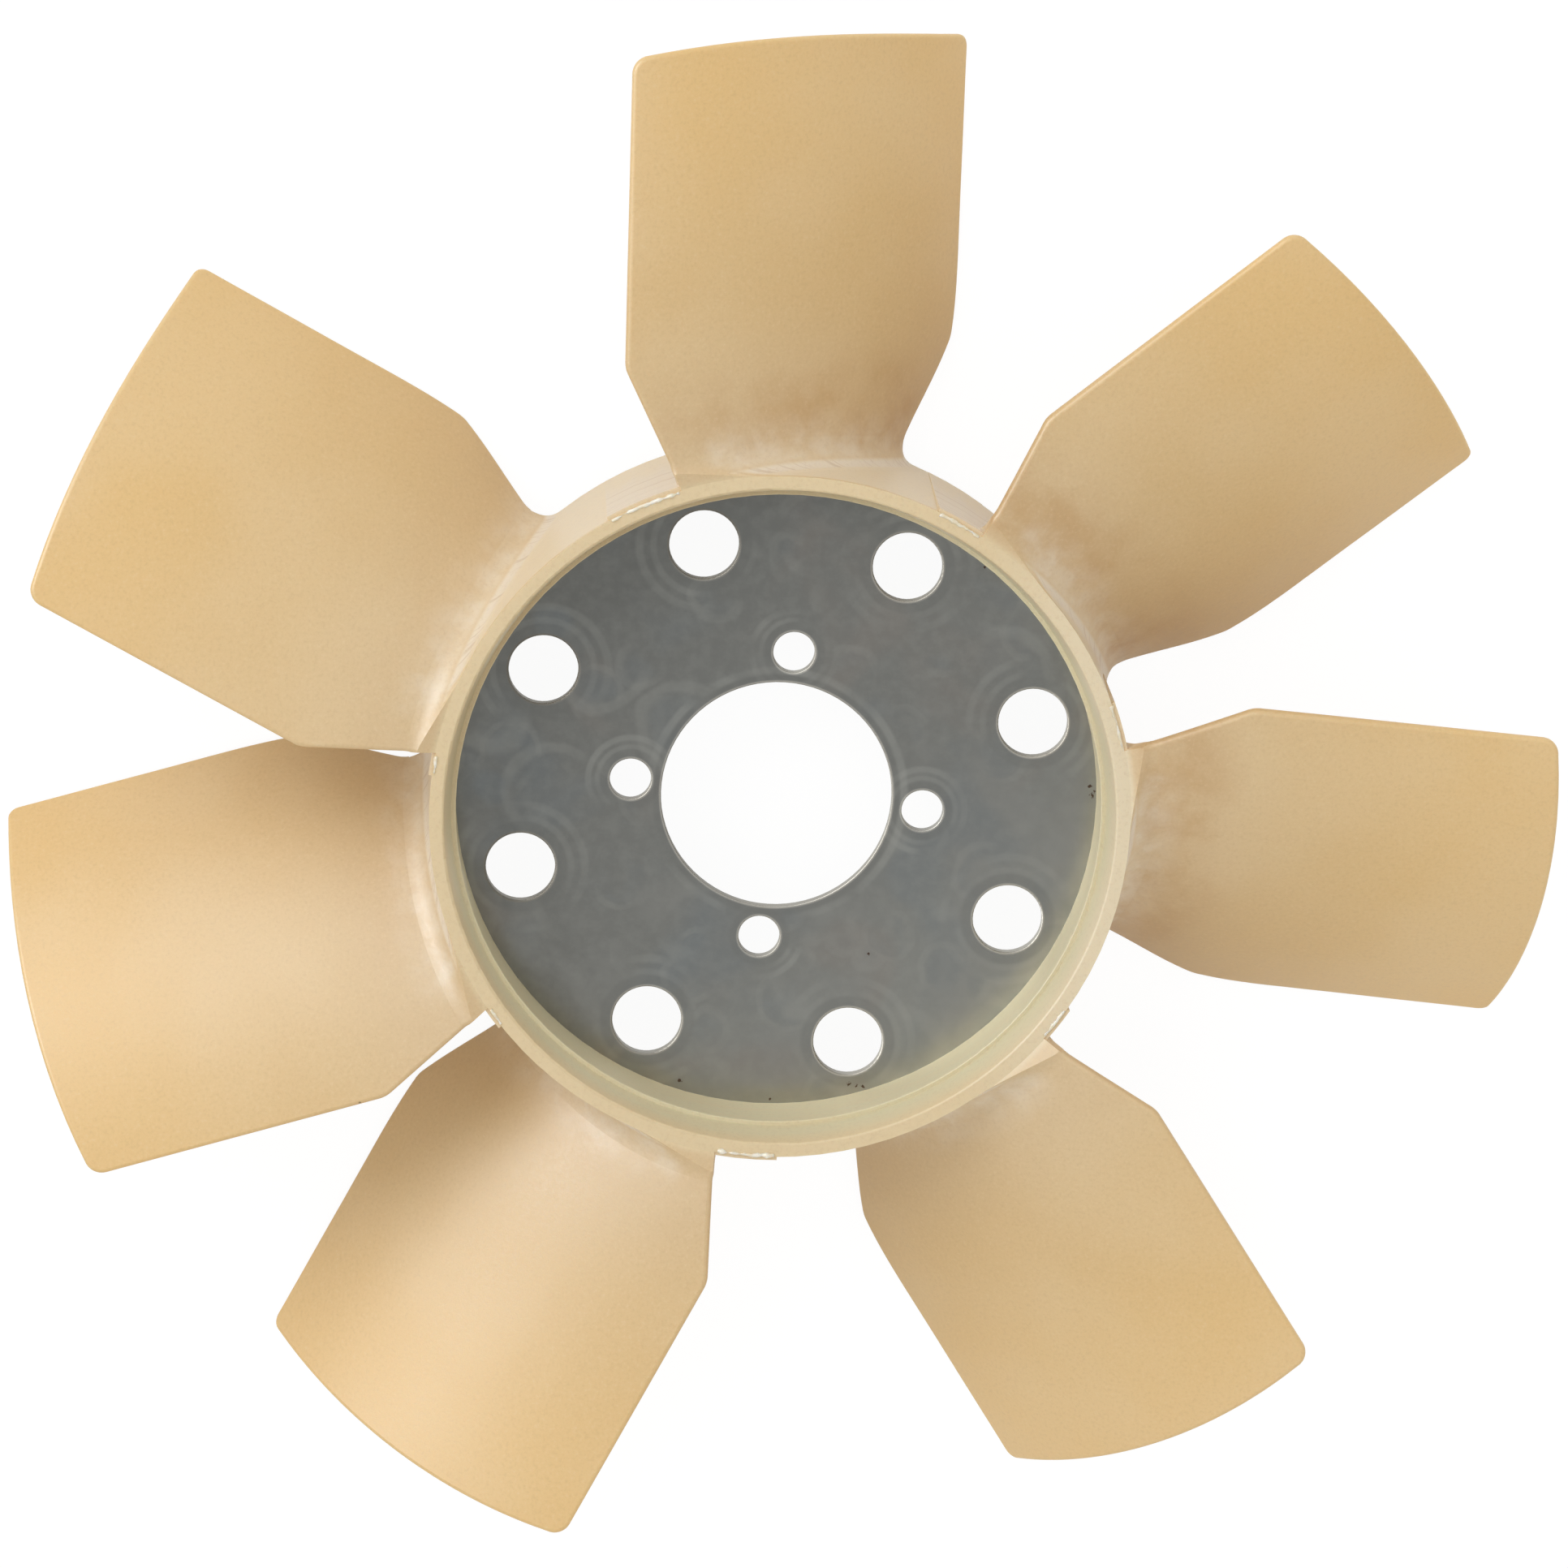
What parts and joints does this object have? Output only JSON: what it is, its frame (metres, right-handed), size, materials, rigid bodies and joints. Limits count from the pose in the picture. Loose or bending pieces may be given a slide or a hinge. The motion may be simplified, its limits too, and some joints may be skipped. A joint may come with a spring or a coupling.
{
  "type": "axial fan impeller",
  "caption": "Axial fan impeller: wide cambered nylon blades at uneven spacing on a deep hub ring, moulded round a flat steel mounting plate with a pilot bore, bolt holes and ports.",
  "frame": {"origin": "centre of the pilot bore and bolt circle, on the front face of the steel plate", "axes": "+Z along the shaft axis out of the front recess (the inlet side); +Y out along the first blade"},
  "size_m": [0.4347, 0.4278, 0.0637],
  "materials": {
    "nylon": "moulded, satin",
    "zinc_plated_steel": "zinc plated, dull"
  },
  "bodies": {
    "root": {"moulded_fan": "nylon", "hub_plate": "zinc_plated_steel"}
  },
  "joints": []
}
